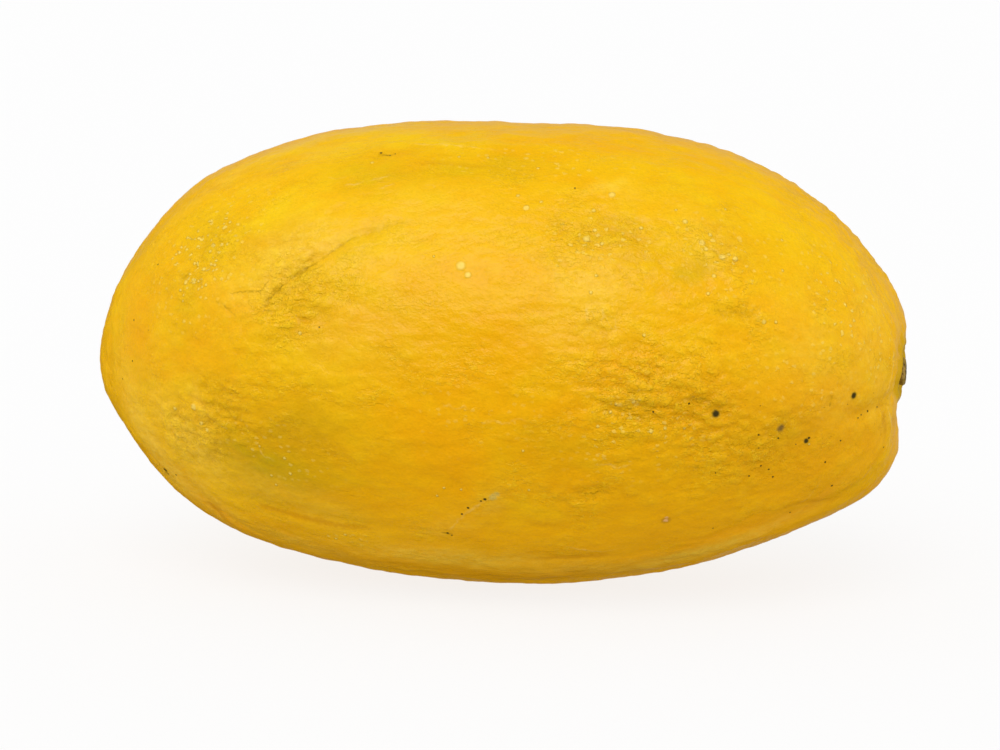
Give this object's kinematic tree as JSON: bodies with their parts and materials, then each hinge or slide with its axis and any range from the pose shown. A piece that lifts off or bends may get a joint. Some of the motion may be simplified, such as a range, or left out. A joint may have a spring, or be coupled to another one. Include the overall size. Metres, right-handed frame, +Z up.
{
  "type": "giant granadilla",
  "caption": "Whole ripe giant granadilla lying on its side: a long oval yellow fruit with the woody stub of its stalk in the hollow at one end.",
  "frame": {"origin": "on the surface that the fruit rests on, under the middle of the part's box", "axes": "+X runs along the fruit to its stem end and +Z is up, so -Y is the side that the picture shows"},
  "size_m": [0.2542, 0.1443, 0.1427],
  "materials": {
    "ripe_skin": "waxy, half-glossy ripe rind, golden yellow with faint green patches, fine grain and a few small dark spots",
    "dry_stalk": "dry, matt olive and brown stalk with a dark cut end"
  },
  "bodies": {
    "root": {"fruit": "ripe_skin", "stem_stub": "dry_stalk"}
  },
  "joints": []
}
